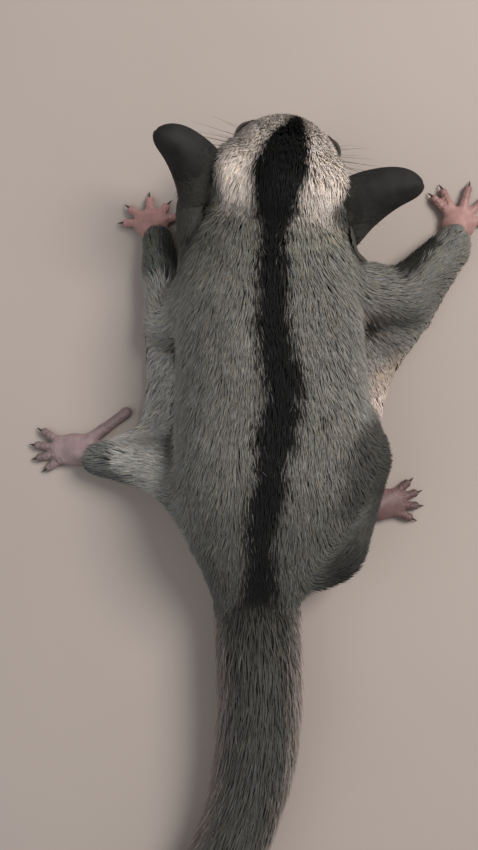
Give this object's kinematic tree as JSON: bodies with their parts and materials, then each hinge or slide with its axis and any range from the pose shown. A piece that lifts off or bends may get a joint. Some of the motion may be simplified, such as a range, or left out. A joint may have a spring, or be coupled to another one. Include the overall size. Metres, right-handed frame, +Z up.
{
  "type": "sugar glider",
  "caption": "Sugar glider at life size, sprawled on its belly with the head bowed, arms reaching forward, one hind leg out to the side and a long bushy tail, grey with a dark stripe along the back",
  "frame": {"origin": "On the floor under the belly, where the flat of the belly rests, half way between shoulders and hips", "axes": "+Y forward towards the nose, +X to the animal's right, +Z up"},
  "size_m": [0.1536, 0.2712, 0.0421],
  "materials": {
    "grey_fur": "soft grey coat, pale on the sides of the head and cream below, with a near-black stripe from brow to rump",
    "pink_skin": "bare pink skin",
    "ear_skin": "thin, nearly bare dark grey skin",
    "eye": "wet black"
  },
  "bodies": {
    "root": {"head": "grey_fur", "eye_left": "eye", "eye_right": "eye", "ear_left": "ear_skin", "ear_right": "ear_skin", "nose": "pink_skin", "neck": "grey_fur", "torso": "grey_fur", "upper_arm_left": "grey_fur", "forearm_left": "grey_fur", "hand_left": "pink_skin", "upper_arm_right": "grey_fur", "forearm_right": "grey_fur", "hand_right": "pink_skin", "patagium_left": "grey_fur", "patagium_right": "grey_fur", "thigh_left": "grey_fur", "shank_left": "grey_fur", "foot_left": "pink_skin", "thigh_right": "grey_fur", "shank_right": "grey_fur", "foot_right": "pink_skin", "tail_base": "grey_fur", "tail_middle": "grey_fur", "tail_tip": "grey_fur"}
  },
  "joints": []
}
